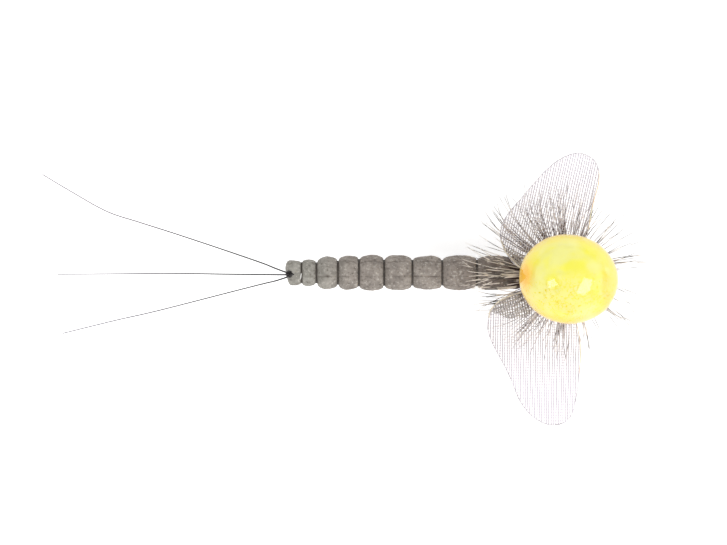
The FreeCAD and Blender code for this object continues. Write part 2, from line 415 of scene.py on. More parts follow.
def objectPlace(tree):
    # object coordinates in millimetres, whole and as separate X, Y and Z
    place = addNode(tree, "ShaderNodeTexCoord")
    scaled = addNode(tree, "ShaderNodeVectorMath", operation="SCALE")
    link(tree, place.outputs["Object"], scaled.inputs[0])
    scaled.inputs["Scale"].default_value = 1 / mm
    parts = addNode(tree, "ShaderNodeSeparateXYZ")
    link(tree, scaled.outputs[0], parts.inputs[0])
    return scaled.outputs[0], parts.outputs


# materials

foamTones = {
    "tail": (srgb(167, 164, 156), srgb(145, 142, 134)),
    "middle": (srgb(158, 149, 141), srgb(136, 128, 121)),
    "front": (srgb(142, 130, 122), srgb(118, 106, 98)),
    # painted shade: the dark that darkens the creases
    "crease": srgb(86, 77, 69),
    "speck": srgb(214, 208, 198),
    "pore": srgb(92, 84, 76),
}


def makeFoamMaterial():
    s = foamTones
    material, tree, shader = newMaterial("closedCellFoam", 0.9)
    place, axes = objectPlace(tree)
    tailPart = drift(tree, *s["tail"], 1400.0)
    middlePart = drift(tree, *s["middle"], 1400.0)
    frontPart = drift(tree, *s["front"], 1400.0)
    rear = mixColors(tree, spread(tree, axes[0], lobeEnds[2][0], lobeEnds[5][0]), tailPart, middlePart)
    base = mixColors(tree, spread(tree, axes[0], lobeEnds[7][0], lobeEnds[9][1]), rear, frontPart)
    cells = addNoise(tree, place, 4.6, 3.0)
    shaded = mixColors(tree, spread(tree, cells, 0.54, 0.70, 0.0, 0.6), base, s["pore"])
    lit = mixColors(tree, spread(tree, cells, 0.44, 0.28, 0.0, 0.55), shaded, s["speck"])
    specks = addNode(tree, "ShaderNodeTexVoronoi")
    specks.inputs["Scale"].default_value = 3.4
    link(tree, place, specks.inputs["Vector"])
    bright = mixColors(tree, spread(tree, specks.outputs["Distance"], 0.17, 0.08, 0.0, 0.5), lit, s["speck"])
    # the crease mask, kept as the tone attribute, paints shade into the creases
    creaseShaded = mixColors(tree, doMath(tree, "MULTIPLY", attribute(tree, "tone"), 0.75), bright, s["crease"])
    link(tree, creaseShaded, shader.inputs["Base Color"])
    grain = placeGroup(tree, grainGroup, Scale=9000.0, Coarse_Share=0.35)
    height = doMath(tree, "MULTIPLY_ADD", cells, -0.8, grain.outputs["Height"])
    addBump(tree, shader, height, 0.07, 0.8)
    return material


def makeThreadMaterial(name, light, dark, roughness=0.55):
    material, tree, shader = newMaterial(name, roughness)
    link(tree, drift(tree, light, dark, 3000.0, 0.35), shader.inputs["Base Color"])
    lay = placeGroup(tree, layGroup, Pitch=0.12, Scale=12000.0)
    addBump(tree, shader, lay.outputs["Height"], 0.02, 0.6)
    return material


def makeTailMaterial():
    # near black at the root, plum and slate towards the tips
    material, tree, shader = newMaterial("tailFibre", 0.38)
    fade = spread(tree, attribute(tree, "along"), 4.0, 19.0)
    tips = drift(tree, srgb(122, 104, 118), srgb(84, 78, 100), 700.0, 0.5)
    link(tree, mixColors(tree, fade, srgb(22, 19, 22), tips), shader.inputs["Base Color"])
    lay = placeGroup(tree, layGroup, Pitch=0.5, Scale=4000.0)
    addBump(tree, shader, lay.outputs["Height"], 0.01, 0.4)
    return material


def makeBarbMaterial():
    # barred feather: dark and cream bands that lie at their own distance on each barb
    material, tree, shader = newMaterial("barredFeather", 0.5)
    along = attribute(tree, "along")
    grain = placeGroup(tree, grainGroup, Scale=3500.0, Coarse_Share=0.5)
    bands = doMath(tree, "DIVIDE", along, 2.6)
    shifted = doMath(tree, "MULTIPLY_ADD", attribute(tree, "tone"), 1.7, bands)
    rough = doMath(tree, "MULTIPLY_ADD", grain.outputs["Height"], 0.5, shifted)
    wave = doMath(tree, "SINE", doMath(tree, "MULTIPLY", rough, math.tau))
    pale = drift(tree, srgb(246, 236, 226), srgb(222, 210, 195), 900.0, 0.4)
    dark = drift(tree, srgb(82, 74, 68), srgb(122, 114, 106), 900.0, 0.4)
    barred = mixColors(tree, spread(tree, wave, -0.10, 0.45), pale, dark)
    root = spread(tree, along, 2.5, 4.0, 0.85, 0.0)
    link(tree, mixColors(tree, root, barred, srgb(70, 42, 36)), shader.inputs["Base Color"])
    addBump(tree, shader, grain.outputs["Height"], 0.01, 0.4)
    return material


def makeMeshMaterial(name, near, far, opacity):
    # sheer thread, whiter towards the wing's tip; near and far are each a light and a dark tone
    material, tree, shader = newMaterial(name, 0.42)
    place, axes = objectPlace(tree)
    rootPart = drift(tree, *near, 700.0, 0.8)
    tipPart = drift(tree, *far, 700.0, 0.8)
    out = spread(tree, doMath(tree, "ABSOLUTE", axes[1]), 4.5, 10.0)
    link(tree, mixColors(tree, out, rootPart, tipPart), shader.inputs["Base Color"])
    shader.inputs["Alpha"].default_value = opacity
    lay = placeGroup(tree, layGroup, Pitch=0.25, Scale=9000.0)
    addBump(tree, shader, lay.outputs["Height"], 0.01, 0.3)
    return material


def makeEdgeMaterial():
    # the sealed edge: grey, with painted yellow light from the ball, straw and orange, along the middle of
    # the front beside the ball
    material, tree, shader = newMaterial("sealedEdge", 0.4)
    place, axes = objectPlace(tree)
    grey = drift(tree, srgb(226, 221, 226), srgb(176, 170, 176), 1100.0)
    warm = drift(tree, srgb(238, 200, 150), srgb(214, 206, 158), 700.0)
    front = spread(tree, axes[0], -2.35, -1.7)
    out = doMath(tree, "ABSOLUTE", axes[1])
    middle = doMath(tree, "MULTIPLY", spread(tree, out, 3.2, 3.9), spread(tree, out, 8.4, 7.4))
    # painted light: the stretch of edge beside the ball is tinted by the ball's yellow
    ballLightShare = doMath(tree, "MULTIPLY", front, middle)
    link(tree, mixColors(tree, ballLightShare, grey, warm), shader.inputs["Base Color"])
    grain = placeGroup(tree, grainGroup, Scale=9000.0)
    addBump(tree, shader, grain.outputs["Height"], 0.02, 0.4)
    return material


ballTones = {
    "lemon": (srgb(255, 254, 168), srgb(255, 251, 100)),
    "gold": srgb(240, 206, 12),
    "flankShadeAmber": srgb(252, 214, 92),
    "rimLightCream": srgb(255, 234, 168),
    "orange": srgb(255, 196, 44),
    "flankShadeShare": 0.7,
    "rimLightShare": 0.55,
    "patchShare": 0.9,      # an orange patch at the rear
    "arcShare": 0.32,       # a fainter orange arc round the front
    "paintedGlow": 0.29,           # painted glow: steady emission that brightens the fluorescent foam
}


def makeBallCoreMaterial():
    # lemon with gold veins and flecks, more of them on the right; low down, painted shade in amber on the
    # flanks and a painted pale rim light round the waist
    s = ballTones
    material, tree, shader = newMaterial("mottledYellow", 0.5)
    place, axes = objectPlace(tree)
    middle = middleOf("sight_ball_core")
    low, high = boxOf("sight_ball_core")
    lemon = drift(tree, *s["lemon"], 480.0)
    bend = addNode(tree, "ShaderNodeTexNoise")
    bend.inputs["Scale"].default_value = 1.6
    link(tree, place, bend.inputs["Vector"])
    bent = addNode(tree, "ShaderNodeVectorMath", operation="ADD")
    link(tree, place, bent.inputs[0])
    link(tree, bend.outputs["Color"], bent.inputs[1])
    cracks = addNode(tree, "ShaderNodeTexVoronoi", feature="DISTANCE_TO_EDGE")
    cracks.inputs["Scale"].default_value = 2.6
    link(tree, bent.outputs[0], cracks.inputs["Vector"])
    broken = spread(tree, addNoise(tree, place, 1.4), 0.40, 0.58)
    veins = doMath(tree, "MULTIPLY", spread(tree, cracks.outputs["Distance"], 0.0, 0.07, 1.0, 0.0), broken)
    flecks = placeGroup(tree, grainGroup, Scale=4200.0, Coarse_Share=0.2)
    right = spread(tree, axes[1], middle.y + 1.0, middle.y - 1.2, 0.12, 1.0)
    fleckShare = doMath(tree, "MULTIPLY", flecks.outputs["Mask"], 0.8)
    gold = doMath(tree, "MULTIPLY", doMath(tree, "MAXIMUM", veins, fleckShare), right)
    mottled = mixColors(tree, gold, lemon, s["gold"])
    # painted shade: amber over the flanks, darker where they turn from the light above
    flank = spread(tree, axes[2], middle.z + 1.9, middle.z + 0.2)
    flankShaded = mixColors(tree, doMath(tree, "MULTIPLY", flank, s["flankShadeShare"]), mottled, s["flankShadeAmber"])
    # painted light: a pale cream rim round the waist, where the clear coat bends in the white surroundings
    rimLightBand = spread(tree, axes[2], middle.z + 0.9, middle.z - 0.1)
    rimLit = mixColors(tree, doMath(tree, "MULTIPLY", rimLightBand, s["rimLightShare"]), flankShaded, s["rimLightCream"])
    spot = addNode(tree, "ShaderNodeVectorMath", operation="DISTANCE")
    link(tree, place, spot.inputs[0])
    spot.inputs[1].default_value = (low.x + 0.35, middle.y + 0.25, middle.z + 1.1)
    patch = spread(tree, spot.outputs["Value"], 1.55, 0.35)
    arcX = doMath(tree, "ABSOLUTE", doMath(tree, "SUBTRACT", axes[0], high.x - 0.75))
    arcSide = spread(tree, axes[1], middle.y + 1.2, middle.y - 0.2)
    arc = doMath(tree, "MULTIPLY", spread(tree, arcX, 0.5, 0.05), arcSide)
    patchWarmth = doMath(tree, "MULTIPLY", patch, s["patchShare"])
    arcWarmth = doMath(tree, "MULTIPLY", arc, s["arcShare"])
    warm = doMath(tree, "MAXIMUM", patchWarmth, arcWarmth)
    finished = mixColors(tree, warm, rimLit, s["orange"])
    link(tree, finished, shader.inputs["Base Color"])
    # painted glow: the core shines with its own colour, though it is no lamp
    link(tree, finished, shader.inputs["Emission Color"])
    shader.inputs["Emission Strength"].default_value = s["paintedGlow"]
    addBump(tree, shader, flecks.outputs["Height"], 0.04, 0.4)
    return material


def makeCoatMaterial():
    material, tree, shader = newMaterial("clearResin", 0.06)
    shader.inputs["Base Color"].default_value = (1.0, 0.99, 0.92, 1.0)
    shader.inputs["Transmission Weight"].default_value = 1.0
    shader.inputs["IOR"].default_value = 1.52
    shader.inputs["Specular IOR Level"].default_value = 1.0
    grain = placeGroup(tree, grainGroup, Scale=1100.0, Coarse_Share=0.6)
    addBump(tree, shader, grain.outputs["Height"], 0.22, 0.45)
    return material


def makeHookMaterial():
    material, tree, shader = newMaterial("bronzedWire", 0.28, 1.0)
    link(tree, drift(tree, srgb(112, 92, 78), srgb(70, 58, 52), 600.0), shader.inputs["Base Color"])
    grain = placeGroup(tree, grainGroup, Scale=14000.0, Coarse_Share=0.3)
    link(tree, spread(tree, grain.outputs["Height"], 0.3, 0.7, 0.20, 0.38), shader.inputs["Roughness"])
    addBump(tree, shader, grain.outputs["Height"], 0.004, 0.3)
    return material


def makeFurMaterial():
    material, tree, shader = newMaterial("dubbingFur", 0.7)
    link(tree, drift(tree, srgb(96, 58, 46), srgb(40, 26, 22), 1500.0, 0.6), shader.inputs["Base Color"])
    grain = placeGroup(tree, grainGroup, Scale=7000.0, Coarse_Share=0.3)
    addBump(tree, shader, grain.outputs["Height"], 0.08, 0.8)
    return material


def makeGlossMaterial(name, light, dark):
    material, tree, shader = newMaterial(name, 0.12)
    link(tree, drift(tree, light, dark, 2500.0), shader.inputs["Base Color"])
    grain = placeGroup(tree, grainGroup, Scale=3000.0, Coarse_Share=0.7)
    addBump(tree, shader, grain.outputs["Height"], 0.03, 0.3)
    return material


# where each lobe's skin starts and ends along the abdomen, by the lobe's number
lobeEnds = {}
for number in range(1, lobeCount + 1):
    low, high = boxOf("foam_segment_%d" % number)
    startX = low.x if number == 1 else boxOf("rib_wrap_%d" % (number - 1))[1].x
    endX = high.x if number == lobeCount else boxOf("rib_wrap_%d" % number)[0].x
    lobeEnds[number] = (startX, endX)

foamMaterial = makeFoamMaterial()
ribMaterial = makeThreadMaterial("ribThread", srgb(84, 76, 68), srgb(52, 46, 41))
headMaterial = makeThreadMaterial("waxedThread", srgb(58, 44, 38), srgb(28, 22, 20), 0.42)
postMaterial = makeThreadMaterial("postYarn", srgb(246, 222, 80), srgb(228, 190, 44), 0.7)
stemMaterial = makeThreadMaterial("featherStem", srgb(120, 96, 78), srgb(70, 52, 42), 0.45)
tailMaterial = makeTailMaterial()
barbMaterial = makeBarbMaterial()
meshTones = {
    "near": (srgb(238, 231, 235), srgb(192, 182, 188)),
    "far": (srgb(242, 235, 243), srgb(218, 208, 219)),
    # the fold's dark tones are partly painted shade from behind the fold
    "foldNear": (srgb(214, 206, 202), srgb(120, 110, 108)),
    "foldFar": (srgb(226, 219, 220), srgb(150, 140, 142)),
}
meshMaterial = makeMeshMaterial("sheerMesh", meshTones["near"], meshTones["far"], 0.80)
# foldedMesh: its darker threads are partly painted shade behind the fold
foldMaterial = makeMeshMaterial("foldedMesh", meshTones["foldNear"], meshTones["foldFar"], 0.92)
edgeMaterial = makeEdgeMaterial()
rollMaterial = makeThreadMaterial("rolledEdge", srgb(240, 230, 214), srgb(206, 196, 182), 0.5)
coreMaterial = makeBallCoreMaterial()
coatMaterial = makeCoatMaterial()
hookMaterial = makeHookMaterial()
furMaterial = makeFurMaterial()
cementMaterial = makeGlossMaterial("blackCement", srgb(30, 26, 26), srgb(16, 13, 14))
# the glue drop's near-white colour is a painted glint
glueGlintMaterial = makeGlossMaterial("glueDropPaintedGlint", srgb(252, 251, 248), srgb(226, 224, 220))
print("materials made")


# the hook's CAD wire is right as it is
hookNode = frame["nodes"]["hook"]
hookNode.data.materials.clear()
hookNode.data.materials.append(hookMaterial)


# foam abdomen

lobeSettings = {
    "rings": 54,
    "sides": 220,
    "barrel": 2.1,            # how flat the lobe's crest is
    "shoulder": 2.0,          # how round it falls to the grooves
    "cutEnd": 5.0,            # the tail end is cut off nearly square
    "frontRim": 0.62,         # the front lobe's rim, as a share of its full radius
    "seamOffset": -0.30,      # along Y, so on the fly's right, on top
    "seamShare": (0.0, 0.4, 1.0, 0.45, 0.5, 0.9, 1.0, 0.6, 0.4),
    "stripOffset": 0.88,
    "stripShare": (0.0, 0.0, 0.5, 0.8, 0.9, 0.8, 0.9, 0.8, 0.2),
    "creaseWidth": 0.055,
    "creaseDepth": 0.07,
    "creaseWander": 0.09,
    "archRise": 0.16,         # the folded edge bows outward along each lobe
    "archDrop": 0.10,
    "pleatDepth": 0.07,
    "lumpSizes": ((1.4, 1.7), (5.0, 0.8), (13.0, 0.6)),    # how fine each layer of lumps is, and how high
    "roughness": 0.030,
    "capShare": 0.6,          # each end is closed by a smaller ring
    "underThread": 0.09,
    "tuck": 0.04,             # how far a lobe's rims lie under the foam neck
    "notchDepth": 0.25,       # the tails lie in a notch in the last lobe
    "notchWidth": 0.52,
    "notchLength": 0.75,
    "notchSide": 0.12,
    "tuckLength": 0.30,
    "rimGap": 0.15,           # from a lobe's front rim to the thread
    "slant": 0.16,            # the cut at the tail end leans
    "slantLength": 0.8,
    "slantSide": 0.4,
}


def lobeBody(number):
    return "hook_assembly" if number == lobeCount else "segment_%d" % number


def wrapRadius(groove):
    low, high = boxOf("rib_wrap_%d" % groove)
    return (high.z - low.z) / 2


def lobeOutline(number, x):
    s = lobeSettings
    low, high = boxOf("foam_segment_%d" % number)
    full = (high.y - low.y) / 2
    startX, endX = lobeEnds[number]
    share = min(1.0, max(0.0, (x - startX) / (endX - startX)))
    edge = abs(2 * share - 1)
    if share < 0.5:
        rim = 0.0 if number == 1 else wrapRadius(number - 1)
    else:
        rim = full * s["frontRim"] if number == lobeCount else wrapRadius(number)
    barrel = s["cutEnd"] if rim == 0.0 else s["barrel"]
    return rim + (full - rim) * (1 - edge ** barrel) ** (1 / s["shoulder"])


def creaseAt(number, x, angle, radius):
    # two lengthwise creases on top: the strip's seam and its folded edge; the same mask paints shade into
    # them
    s = lobeSettings
    if math.cos(angle) <= 0:
        return 0.0
    startX, endX = lobeEnds[number]
    share = (x - startX) / (endX - startX)
    y = -radius * math.sin(angle)
    wander = s["creaseWander"] * noise.noise(Vector((x * 1.3, number, 5.0)))
    seam = s["seamShare"][number - 1] * math.exp(-((y - s["seamOffset"] - wander) / s["creaseWidth"]) ** 2)
    arch = s["archRise"] * (1 - (2 * share - 1) ** 2) - s["archDrop"] + wander
    strip = s["stripShare"][number - 1] * math.exp(-((y - s["stripOffset"] - arch) / s["creaseWidth"]) ** 2)
    fading = 0.45 + 0.55 * math.sin(math.pi * min(1.0, max(0.0, share))) ** 0.5
    patchy = 0.65 + 0.7 * noise.noise(Vector((x * 2.4, y * 2.0, number * 3.0)))
    return max(0.0, min(1.0, (seam + strip) * fading * patchy))


def skinAt(number, x, angle):
    # the lobe's radius with its lumps, pleats and creases, and the crease mask, which is also painted shade
    # in the creases
    s = lobeSettings
    outline = lobeOutline(number, x)
    startX, endX = lobeEnds[number]
    edge = abs(2 * (x - startX) / (endX - startX) - 1)
    around = Vector((math.cos(angle) * 1.1, math.sin(angle) * 1.1, x * 0.8 + number * 3.7))
    lumps = sum(noise.noise(around * scale) * height for scale, height in s["lumpSizes"])
    spoke = Vector((math.cos(angle) * 5.5, math.sin(angle) * 5.5, number * 2.0))
    pleats = noise.noise(spoke) * s["pleatDepth"] * min(1.0, edge) ** 3
    crease = creaseAt(number, x, angle, outline)
    small = min(1.0, outline)
    return outline + (lumps * s["roughness"] + pleats - crease * s["creaseDepth"]) * small, crease


# the crease mask is stored as each point's tone, which the foam material paints as shade
def addFoam(store, stations, radiusAt):
    sides = lobeSettings["sides"]
    rings, tones = [], []
    for x in stations:
        ring, tone = [], []
        for step in range(sides):
            angle = math.tau * step / sides
            radius, crease = radiusAt(x, angle)
            ring.append(Vector((x, -radius * math.sin(angle), abdomenZ + radius * math.cos(angle))))
            tone.append(crease)
        rings.append(ring)
        tones.append(tone)
    addRings(store, rings, None, tones)


def makeLobe(number):
    s = lobeSettings
    startX, endX = lobeEnds[number]
    first, last = number == 1, number == lobeCount
    rimX = endX if last else endX - s["rimGap"]

    def radiusAt(x, angle):
        if x < startX:
            return wrapRadius(number - 1) - s["underThread"], 0.0
        radius, crease = skinAt(number, x, angle)
        tuck = 0.0
        if not first:
            tuck += 1 - easeStep(startX + 0.5 * s["tuckLength"], startX + s["tuckLength"], x)
        if not last:
            tuck += easeStep(endX - s["tuckLength"], endX - 0.5 * s["tuckLength"], x)
        if x in (stations[0], stations[-1]):
            radius *= s["capShare"]
        if first and math.cos(angle) > 0:
            beside = (radius * math.sin(angle) - s["notchSide"]) / s["notchWidth"]
            rear = 1 - easeStep(startX, startX + s["notchLength"], x)
            tuck += s["notchDepth"] / s["tuck"] * rear * math.exp(-beside ** 2)
        return max(radius - s["tuck"] * tuck, 0.01), crease

    stations = [] if first else [boxOf("rib_wrap_%d" % (number - 1))[0].x, startX - 0.01]
    for step in range(s["rings"] + 1):
        share = 0.5 - 0.5 * math.cos(math.pi * step / s["rings"])   # rings are closer at the shoulders
        stations.append(startX + (rimX - startX) * share)
    stations.append(rimX + 0.02 if not last else rimX)
    store = newStore()
    addFoam(store, stations, radiusAt)
    if first:
        for vert in store["verts"]:
            rear = 1 - easeStep(startX * mm, (startX + s["slantLength"]) * mm, vert.x)
            vert.x += s["slant"] * mm * rear * max(0.0, s["slantSide"] - vert.y / mm)
    name = "foam_segment_%d" % number
    lobe = makePiece("foam_lobe_%d" % number, store, foamMaterial, lobeBody(number), "foam", name)


for number in range(1, lobeCount + 1):
    makeLobe(number)
print("foam lobes made")


# the foam's skin across each groove

neckSettings = {
    "reach": 0.34,            # how far the skin runs past the thread on both sides
    "rings": 34,
    "seat": 0.05,             # how far it lies under the thread
    "dive": 0.045,            # how far its ends sink into the lobes
    "diveLength": 0.07,
    "bendLength": 0.30,
    "threadShade": 0.45,       # painted shade in the groove, under the thread and beside it
    "besideShade": 0.5,
    "besideWidth": 0.05,
}


def makeNeck(groove):
    s = neckSettings
    low, high = boxOf("rib_wrap_%d" % groove)
    startX, endX = low.x - s["reach"], high.x + s["reach"]

    def radiusAt(x, angle):
        # under the thread and just beside it the tone is painted shade of the groove
        if low.x < x < high.x:
            return wrapRadius(groove) - s["seat"], s["threadShade"]
        radius, crease = skinAt(groove if x <= low.x else groove + 1, x, angle)
        nearThread = math.exp(-(min(abs(x - low.x), abs(x - high.x)) / s["besideWidth"]) ** 2)
        under = 1 - easeStep(0.0, s["diveLength"], min(x - startX, endX - x))
        return radius - s["dive"] * under, max(crease, s["besideShade"] * nearThread)

    stations = [startX + (endX - startX) * step / s["rings"] for step in range(s["rings"] + 1)]
    store = newStore()
    addFoam(store, stations, radiusAt)
    neck = makePiece("foam_neck_%d" % groove, store, foamMaterial, None, "foam")
    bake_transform(neck)


for groove in range(1, lobeCount):
    makeNeck(groove)
print("foam necks made")


# rib thread in the grooves, two passes over each other

ribSettings = {"wire": 0.034, "seed": 31, "margin": 0.034, "tilt": 0.022, "turns": 2}
draw = random.Random(ribSettings["seed"])


def makeRib(groove):
    s = ribSettings
    low, high = boxOf("rib_wrap_%d" % groove)
    seat = wrapRadius(groove) - s["wire"]
    store = newStore()
    for layer in range(2):
        leanY, leanZ = draw.uniform(-1, 1) * s["tilt"], draw.uniform(-1, 1) * s["tilt"]
        turnAxis = Vector((1, leanY, leanZ)).normalized()
        centre = Vector((low.x, 0, abdomenZ))

        def reachAt(place, angle):
            return seat + s["wire"] * (0.5 * layer + 0.6 * noise.noise(Vector((angle, groove, layer))))

        end = high.x - low.x - s["margin"]
        addCoil(store, centre, turnAxis, s["margin"], end, s["turns"], reachAt, s["wire"], draw.random())
    node = "rib_wrap_%d" % groove
    makePiece("rib_thread_%d" % groove, store, ribMaterial, lobeBody(groove + 1), "thread", node)


for groove in range(1, lobeCount):
    makeRib(groove)


# tails, the knot that holds them and its glue

tailSettings = {
    "rootRadius": 0.066,
    "tipRadius": 0.030,
    "tail_left": [
        (-25.05, -0.06, 1.62), (-25.44, 0.06, 1.66), (-26.30, 0.38, 1.71), (-27.30, 0.78, 1.76),
        (-30.08, 1.74, 1.86), (-34.16, 3.10, 2.02), (-37.14, 4.05, 2.12), (-39.73, 4.92, 2.22),
        (-42.70, 6.58, 2.32), (-44.84, 7.86, 2.40)],
    "tail_middle": [
        (-25.05, -0.14, 1.64), (-25.44, -0.16, 1.66), (-29.72, -0.12, 1.84), (-34.54, -0.05, 2.04),
        (-38.98, -0.09, 2.20), (-43.62, -0.12, 2.36)],
    "tail_right": [
        (-25.05, -0.24, 1.62), (-25.44, -0.40, 1.66), (-26.30, -0.67, 1.71), (-27.20, -0.88, 1.74),
        (-29.72, -1.52, 1.84), (-35.65, -3.04, 2.08), (-38.99, -3.80, 2.20), (-43.25, -4.85, 2.36)],
}


def makeTail(node, tone):
    s = tailSettings
    path = smoothPath(s[node], 14)
    last = len(path) - 1
    radii = []
    for step in range(last + 1):
        radii.append(s["rootRadius"] + (s["tipRadius"] - s["rootRadius"]) * (step / last) ** 0.8)
    store = newStore()
    addTube(store, path, radii, 10, tone)
    makePiece(node + "_hair", store, tailMaterial, "tails", "tail_fibre", node)


for tone, node in enumerate(("tail_left", "tail_middle", "tail_right")):
    makeTail(node, tone / 2)

knotSettings = {
    "back": 0.02,          # mm behind the CAD knot's rear end
    "tip": 0.30,           # mm short of its front end
    "lift": 0.08,
    "rows": 24,
    "widest": 0.27,
    "widestAt": 0.3,       # as a share of the way from back to tip
    "thinnest": 0.012,
    "wrapStart": 0.10,
    "wrapTurns": 4,
    "wrapRadius": 0.23,
    "wrapTaper": 0.10,
    "wire": 0.045,
    "seed": 5,
}


def makeKnot():
    s = knotSettings
    low, high = boxOf("tail_knot")
    middle = (low + high) / 2
    back = Vector((low.x - s["back"], middle.y, middle.z + 0.02))
    tip = Vector((high.x - s["tip"], middle.y, middle.z + s["lift"]))
    line = tip - back
    stations = []
    for step in range(s["rows"] + 1):
        share = step / s["rows"]
        if share < s["widestAt"]:
            swell = math.sin(math.pi * (share / s["widestAt"] * 0.42 + 0.08))
        else:
            swell = (1 - (share - s["widestAt"]) / (1 - s["widestAt"])) ** 0.85
        stations.append((line.length * share, max(s["thinnest"], s["widest"] * swell)))

    def wrapAt(place):
        return s["wrapRadius"] - s["wrapTaper"] * abs(place - s["widestAt"])

    store = newStore()
    way = line.normalized()
    wrapEnd = s["wrapStart"] + 2 * s["wrapTurns"] * s["wire"]
    addTurned(store, back, way, stations, 28, lumpyShape(0.2, 2, 4))
    addWrap(store, back, way, s["wrapStart"], wrapEnd, wrapAt, s["wire"], random.Random(s["seed"]), 0.6)
    makePiece("tail_knot_cement", store, cementMaterial, "segment_1", "cement", "tail_knot")


glueSettings = {
    "halfWidth": 0.045,
    "halfLength": 0.27,
    "y": -0.28,
    "ahead": 0.02,            # in front of the thread's rear edge
    "lift": 0.02,
    "lean": 0.12,
    "sides": 20,
    "rows": 14,
}


def makeGlueDrop():
    # a thin run of dried glue across the first groove, on the thread; its near-white colour is a painted
    # glint
    s = glueSettings
    low, high = boxOf("rib_wrap_1")
    store = newStore()
    rings = []
    for row in range(1, s["rows"]):
        polar = math.pi * row / s["rows"]
        ring = []
        for step in range(s["sides"]):
            angle = math.tau * step / s["sides"]
            y = s["y"] - s["halfLength"] * math.cos(polar)
            lean = s["lean"] * (y - s["y"])
            x = low.x + s["ahead"] + lean + s["halfWidth"] * math.sin(polar) * math.cos(angle)
            top = math.sqrt(wrapRadius(1) ** 2 - y * y) + s["lift"]
            ring.append(Vector((x, y, abdomenZ + top + s["halfWidth"] * math.sin(polar) * math.sin(angle))))
        rings.append(ring)
    addRings(store, rings)
    makePiece("tail_glue_drop", store, glueGlintMaterial, lobeBody(2), "cement")


makeKnot()
makeGlueDrop()
print("tails made")


# thorax: spun fur on the shank

thoraxSettings = {
    "fibres": 1500,
    "length": (0.5, 1.5),
    "radius": 0.014,
    "seed": 11,
    "neck": 0.56,
    "swell": 0.38,
    "rows": 30,
    "underFur": 0.97,                # the plain form under the fur, as a share of the outline
    "roots": 0.93,
    "backwards": (-1.2, 0.5),        # how far fibres lean along the shank, and how far they stand out
    "outwards": (0.05, 0.32),
    "standsOff": 0.20,
    "overRear": 0.25,
    "overFront": 0.15,
    "collarFibres": 620,
    "collarRoots": (0.7, 1.18),      # mm from the abdomen's axis
    "collarReach": 1.30,
    "collarLength": (0.55, 1.15),
    "collarTwist": 0.35,
    "collarOverlap": 0.15,
}


def thoraxRadius(share):
    s = thoraxSettings
    return s["neck"] + s["swell"] * math.sin(math.pi * min(max(share, 0), 1)) ** 0.7


def addCollar(store, frontX, draw):
    # dark fibres that lean back from the thorax's rear end, at frontX, over the front of the foam
    s = thoraxSettings
    for fibre in range(s["collarFibres"]):
        angle = draw.uniform(0, math.tau)
        reach = draw.uniform(*s["collarRoots"])
        length = draw.uniform(*s["collarLength"])
        twist = draw.uniform(-s["collarTwist"], s["collarTwist"])
        path, radii = [], []
        for step in range(7):
            t = step / 6
            turned = angle + twist * t
            out = reach + (s["collarReach"] - reach) * t ** 0.7 + 0.05 * math.sin(math.pi * t)
            spoke = Vector((0, math.cos(turned), math.sin(turned))) * out
            path.append(Vector((frontX + s["collarOverlap"] - length * t, 0, abdomenZ)) + spoke)
            radii.append(s["radius"] * 1.6 * (1 - 0.7 * t))
        addTube(store, path, radii, 4, draw.random())


def makeThorax():
    s = thoraxSettings
    low, high = boxOf("thorax_dubbing")
    length = high.x - low.x
    middleZ = (low.z + high.z) / 2

    store = newStore()
    shares = [step / s["rows"] for step in range(s["rows"] + 1)]
    stations = [(length * share, thoraxRadius(share) * s["underFur"]) for share in shares]
    addTurned(store, Vector((low.x, 0, middleZ)), forward, stations, 64, lumpyShape(0.1, 3, 2.5))
    draw = random.Random(s["seed"])
    for fibre in range(s["fibres"]):
        share = draw.uniform(0.03, 0.97)
        angle = draw.uniform(0, math.tau)
        outward = Vector((0, math.cos(angle), math.sin(angle)))
        tangent = Vector((0, -math.sin(angle), math.cos(angle)))
        place = Vector((low.x + length * share, 0, middleZ)) + outward * (thoraxRadius(share) * s["roots"])
        heading = forward * draw.uniform(*s["backwards"]) + tangent * draw.uniform(-1, 1)
        heading = (heading + outward * draw.uniform(*s["outwards"])).normalized()
        reachLength = draw.uniform(*s["length"])
        path, radii = [], []
        for step in range(6):
            t = step / 5
            reach = place + heading * (reachLength * t)
            radial = Vector((0, reach.y, reach.z - middleZ)).normalized()
            lift = s["underFur"] + s["standsOff"] * t * draw.uniform(0.2, 1)
            wanted = thoraxRadius((reach.x - low.x) / length) * lift
            x = min(max(reach.x, low.x - s["overRear"]), high.x + s["overFront"])
            path.append(Vector((x, 0, middleZ)) + radial * wanted)
            radii.append(s["radius"] * (1 - 0.75 * t))
        addTube(store, path, radii, 3, draw.random())
    addCollar(store, low.x, draw)
    makePiece("thorax_fur", store, furMaterial, "hook_assembly", "dubbing", "thorax_dubbing")


makeThorax()
print("thorax made")


# thread on the shank, the head and the post

wrapSettings = {
    "wire": 0.045,
    "seed": 21,
    "headFront": 0.34,        # the head's radius at its front end
    "tieInFall": 0.02,
    # the cement drop: distance from the head wrap's front end, and radius
    "cement": [(-0.06, 0.33), (0.0, 0.36), (0.05, 0.345), (0.10, 0.30), (0.15, 0.255), (0.17, 0.232)],
}
draw = random.Random(wrapSettings["seed"])


def makeShankWrap(name, node, radiusStart, radiusEnd, openTurns):
    wire = wrapSettings["wire"]
    low, high = boxOf(node)
    length = high.x - low.x

    def radiusAt(place):
        return radiusStart + (radiusEnd - radiusStart) * place / length - wire

    store = newStore()
    rear = Vector((low.x, 0, 0))
    filling = [(0.01, radiusAt(0)), (length / 2, radiusAt(length / 2)), (length - 0.01, radiusAt(length))]
    addTurned(store, rear, forward, filling, 40)
    addWrap(store, rear, forward, wire, length - wire, radiusAt, wire, draw, 0.3, 0.4, openTurns)
    makePiece(name, store, headMaterial, "hook_assembly", "thread", node)


